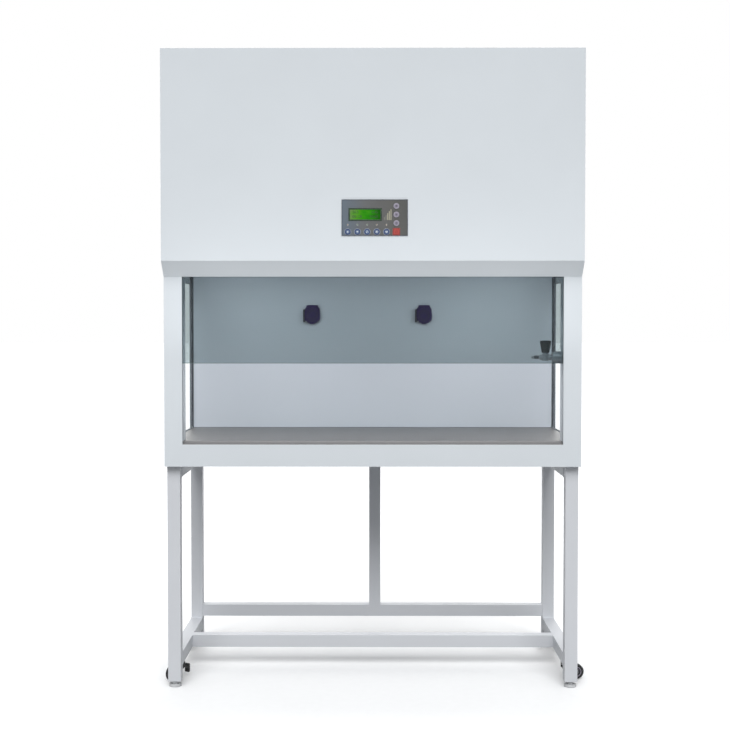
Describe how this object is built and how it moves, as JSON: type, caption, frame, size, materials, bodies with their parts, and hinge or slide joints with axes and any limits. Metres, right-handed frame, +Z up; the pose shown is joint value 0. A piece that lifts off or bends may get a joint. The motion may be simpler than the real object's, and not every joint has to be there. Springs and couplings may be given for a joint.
{
  "type": "laminar flow cabinet",
  "caption": "Glass-sided clean-air work cabinet with a sliding sash, deep blower hood and control panel, on a tube stand with castors and levelling feet.",
  "frame": {"origin": "on the floor under the middle of the cabinet", "axes": "+X to the right seen from the front, +Y to the back, +Z up"},
  "size_m": [1.3648, 0.657, 1.99],
  "materials": {
    "painted_tube": "pale grey powder coat, fine texture",
    "painted_sheet": "pale grey powder coat",
    "painted_wall": "pale grey enamel, smooth",
    "painted_grille": "pale grey powder coat",
    "stainless": "brushed along X",
    "clear_glass": "clear float glass",
    "sash_tint": "grey tinted toughened glass",
    "guide_aluminium": "anodised",
    "filter_aluminium": "extruded",
    "filter_paper": "pleated glass paper",
    "filter_mat": "coarse fibre mat",
    "zinc_sheet": "zinc plated",
    "cable_steel": "stranded wire",
    "weight_steel": "plain steel bar",
    "lamp_white": "opal tube",
    "lamp_quartz": "quartz tube",
    "panel_grey": "moulded, fine texture",
    "display_green": "backlit display glass",
    "socket_violet": "moulded",
    "tap_enamel": "epoxy coated brass",
    "black_plastic": "moulded",
    "castor_black": "black coated steel",
    "wheel_rubber": "solid tread",
    "foot_grey": "moulded pad on a steel stud",
    "key_blue": "moulded",
    "key_grey": "moulded",
    "key_red": "moulded"
  },
  "bodies": {
    "root": {"stand_right_frame": "painted_tube", "stand_left_frame": "painted_tube", "stand_rear_frame": "painted_tube", "stand_mid_rail": "painted_tube", "chamber_frame": "painted_sheet", "side_glass": "clear_glass", "rear_wall": "painted_wall", "worktop": "stainless", "diffuser_screen": "painted_wall", "sash_guides": "guide_aluminium", "sash_cables": "cable_steel", "shaft_brackets": "zinc_sheet", "hood_front_panel": "painted_sheet", "hood_side_panels": "painted_sheet", "hood_top_panel": "painted_sheet", "rear_panel": "painted_sheet", "intake_grille": "painted_grille", "prefilter": "filter_mat", "hepa_frame": "filter_aluminium", "hepa_media": "filter_paper", "plenum_box": "zinc_sheet", "blower_housing": "zinc_sheet", "work_lamp": "lamp_white", "uv_lamp": "lamp_quartz", "control_panel": "panel_grey", "lcd_window": "display_green", "socket_bodies": "socket_violet", "tap_body": "tap_enamel", "power_inlet": "black_plastic"},
    "sash": {"sash_glass": "sash_tint", "sash_clamps": "black_plastic"},
    "counterweights": {"counterweights": "weight_steel"},
    "sync_shaft": {"sash_shaft": "zinc_sheet"},
    "impeller": {"blower_impeller": "zinc_sheet"},
    "tap_knob": {"tap_knob": "black_plastic"},
    "fork_front_left": {"castor_fork_front_left": "castor_black"},
    "wheel_front_left": {"castor_wheel_front_left": "wheel_rubber"},
    "pedal_front_left": {"brake_pedal_front_left": "castor_black"},
    "foot_front_left": {"foot_front_left": "foot_grey"},
    "fork_front_right": {"castor_fork_front_right": "castor_black"},
    "wheel_front_right": {"castor_wheel_front_right": "wheel_rubber"},
    "foot_front_right": {"foot_front_right": "foot_grey"},
    "fork_rear_left": {"castor_fork_rear_left": "castor_black"},
    "wheel_rear_left": {"castor_wheel_rear_left": "wheel_rubber"},
    "foot_rear_left": {"foot_rear_left": "foot_grey"},
    "fork_rear_right": {"castor_fork_rear_right": "castor_black"},
    "wheel_rear_right": {"castor_wheel_rear_right": "wheel_rubber"},
    "pedal_rear_right": {"brake_pedal_rear_right": "castor_black"},
    "foot_rear_right": {"foot_rear_right": "foot_grey"},
    "socket_lid_left": {"socket_lid_left": "socket_violet"},
    "socket_lid_right": {"socket_lid_right": "socket_violet"},
    "key_up": {"key_up": "key_blue"},
    "key_down": {"key_down": "key_blue"},
    "key_fan": {"key_fan": "key_blue"},
    "key_light": {"key_light": "key_blue"},
    "key_uv": {"key_uv": "key_blue"},
    "key_mute": {"key_mute": "key_grey"},
    "key_menu": {"key_menu": "key_grey"},
    "key_timer": {"key_timer": "key_grey"},
    "key_power": {"key_power": "key_red"}
  },
  "joints": [
    {"name": "sash_slide", "type": "slide", "parent": "root", "child": "sash", "axis": [0, 0, 1], "range_m": [-0.249, 0.26], "deforming": ["sash_cables"]},
    {"name": "counterweight_slide", "type": "slide", "parent": "root", "child": "counterweights", "axis": [0, 0, 1], "range_m": [-0.26, 0.249]},
    {"name": "sync_shaft_spin", "type": "hinge", "parent": "root", "child": "sync_shaft", "pos_m": [0, -0.251, 1.9], "axis": [1, 0, 0], "range_deg": [-745, 714]},
    {"name": "castor_swivel_front_left", "type": "hinge", "parent": "root", "child": "fork_front_left", "pos_m": [-0.626, -0.1533, 0.0627], "axis": [0, 0, 1], "continuous": true},
    {"name": "castor_roll_front_left", "type": "hinge", "parent": "fork_front_left", "child": "wheel_front_left", "pos_m": [-0.64389, -0.17983, 0.026], "axis": [-0.829, 0.5592, 0], "continuous": true},
    {"name": "brake_front_left", "type": "hinge", "parent": "fork_front_left", "child": "pedal_front_left", "pos_m": [-0.62041, -0.14501, 0.046], "axis": [-0.829, 0.5592, 0], "range_deg": [0, 12]},
    {"name": "foot_screw_front_left", "type": "slide", "parent": "root", "child": "foot_front_left", "axis": [0, 0, 1], "range_m": [-0.015, 0.0035]},
    {"name": "castor_swivel_front_right", "type": "hinge", "parent": "root", "child": "fork_front_right", "pos_m": [0.626, -0.1533, 0.0627], "axis": [0, 0, 1], "continuous": true},
    {"name": "castor_roll_front_right", "type": "hinge", "parent": "fork_front_right", "child": "wheel_front_right", "pos_m": [0.65782, -0.14996, 0.026], "axis": [0.1045, -0.9945, 0], "continuous": true},
    {"name": "foot_screw_front_right", "type": "slide", "parent": "root", "child": "foot_front_right", "axis": [0, 0, 1], "range_m": [-0.015, 0.0035]},
    {"name": "castor_swivel_rear_left", "type": "hinge", "parent": "root", "child": "fork_rear_left", "pos_m": [-0.626, 0.1987, 0.0627], "axis": [0, 0, 1], "continuous": true},
    {"name": "castor_roll_rear_left", "type": "hinge", "parent": "fork_rear_left", "child": "wheel_rear_left", "pos_m": [-0.65782, 0.20205, 0.026], "axis": [0.1045, 0.9945, 0], "continuous": true},
    {"name": "foot_screw_rear_left", "type": "slide", "parent": "root", "child": "foot_rear_left", "axis": [0, 0, 1], "range_m": [-0.015, 0.0035]},
    {"name": "castor_swivel_rear_right", "type": "hinge", "parent": "root", "child": "fork_rear_right", "pos_m": [0.626, 0.1987, 0.0627], "axis": [0, 0, 1], "continuous": true},
    {"name": "castor_roll_rear_right", "type": "hinge", "parent": "fork_rear_right", "child": "wheel_rear_right", "pos_m": [0.65769, 0.19425, 0.026], "axis": [-0.1392, -0.9903, 0], "continuous": true},
    {"name": "brake_rear_right", "type": "hinge", "parent": "fork_rear_right", "child": "pedal_rear_right", "pos_m": [0.6161, 0.20009, 0.046], "axis": [-0.1392, -0.9903, 0], "range_deg": [0, 12]},
    {"name": "foot_screw_rear_right", "type": "slide", "parent": "root", "child": "foot_rear_right", "axis": [0, 0, 1], "range_m": [-0.015, 0.0035]},
    {"name": "socket_lid_left_hinge", "type": "hinge", "parent": "root", "child": "socket_lid_left", "pos_m": [-0.2135, 0.256, 1.2125], "axis": [1, 0, 0], "range_deg": [-110, 0], "stiffness_Nm_per_rad": 0.02, "springref_deg": 34.38},
    {"name": "socket_lid_right_hinge", "type": "hinge", "parent": "root", "child": "socket_lid_right", "pos_m": [0.1825, 0.256, 1.2125], "axis": [1, 0, 0], "range_deg": [-110, 0], "stiffness_Nm_per_rad": 0.02, "springref_deg": 34.38},
    {"name": "tap_turn", "type": "hinge", "parent": "root", "child": "tap_knob", "pos_m": [0.543, -0.237, 1.058], "axis": [0, 0, 1], "range_deg": [0, 90]},
    {"name": "key_up_press", "type": "slide", "parent": "root", "child": "key_up", "axis": [0, 1, 0], "range_m": [0, 0.0015], "stiffness_N_per_m": 600, "springref_m": -0.0005},
    {"name": "key_down_press", "type": "slide", "parent": "root", "child": "key_down", "axis": [0, 1, 0], "range_m": [0, 0.0015], "stiffness_N_per_m": 600, "springref_m": -0.0005},
    {"name": "key_fan_press", "type": "slide", "parent": "root", "child": "key_fan", "axis": [0, 1, 0], "range_m": [0, 0.0015], "stiffness_N_per_m": 600, "springref_m": -0.0005},
    {"name": "key_light_press", "type": "slide", "parent": "root", "child": "key_light", "axis": [0, 1, 0], "range_m": [0, 0.0015], "stiffness_N_per_m": 600, "springref_m": -0.0005},
    {"name": "key_uv_press", "type": "slide", "parent": "root", "child": "key_uv", "axis": [0, 1, 0], "range_m": [0, 0.0015], "stiffness_N_per_m": 600, "springref_m": -0.0005},
    {"name": "key_mute_press", "type": "slide", "parent": "root", "child": "key_mute", "axis": [0, 1, 0], "range_m": [0, 0.0015], "stiffness_N_per_m": 600, "springref_m": -0.0005},
    {"name": "key_menu_press", "type": "slide", "parent": "root", "child": "key_menu", "axis": [0, 1, 0], "range_m": [0, 0.0015], "stiffness_N_per_m": 600, "springref_m": -0.0005},
    {"name": "key_timer_press", "type": "slide", "parent": "root", "child": "key_timer", "axis": [0, 1, 0], "range_m": [0, 0.0015], "stiffness_N_per_m": 600, "springref_m": -0.0005},
    {"name": "key_power_press", "type": "slide", "parent": "root", "child": "key_power", "axis": [0, 1, 0], "range_m": [0, 0.0015], "stiffness_N_per_m": 600, "springref_m": -0.0005},
    {"name": "impeller_spin", "type": "hinge", "parent": "root", "child": "impeller", "pos_m": [0, 0.04, 1.762], "axis": [1, 0, 0], "continuous": true}
  ],
  "couplings": [
    {"joint": "counterweight_slide", "follows": "sash_slide", "ratio": -1},
    {"joint": "sync_shaft_spin", "follows": "sash_slide", "rad_per_m": -50}
  ]
}
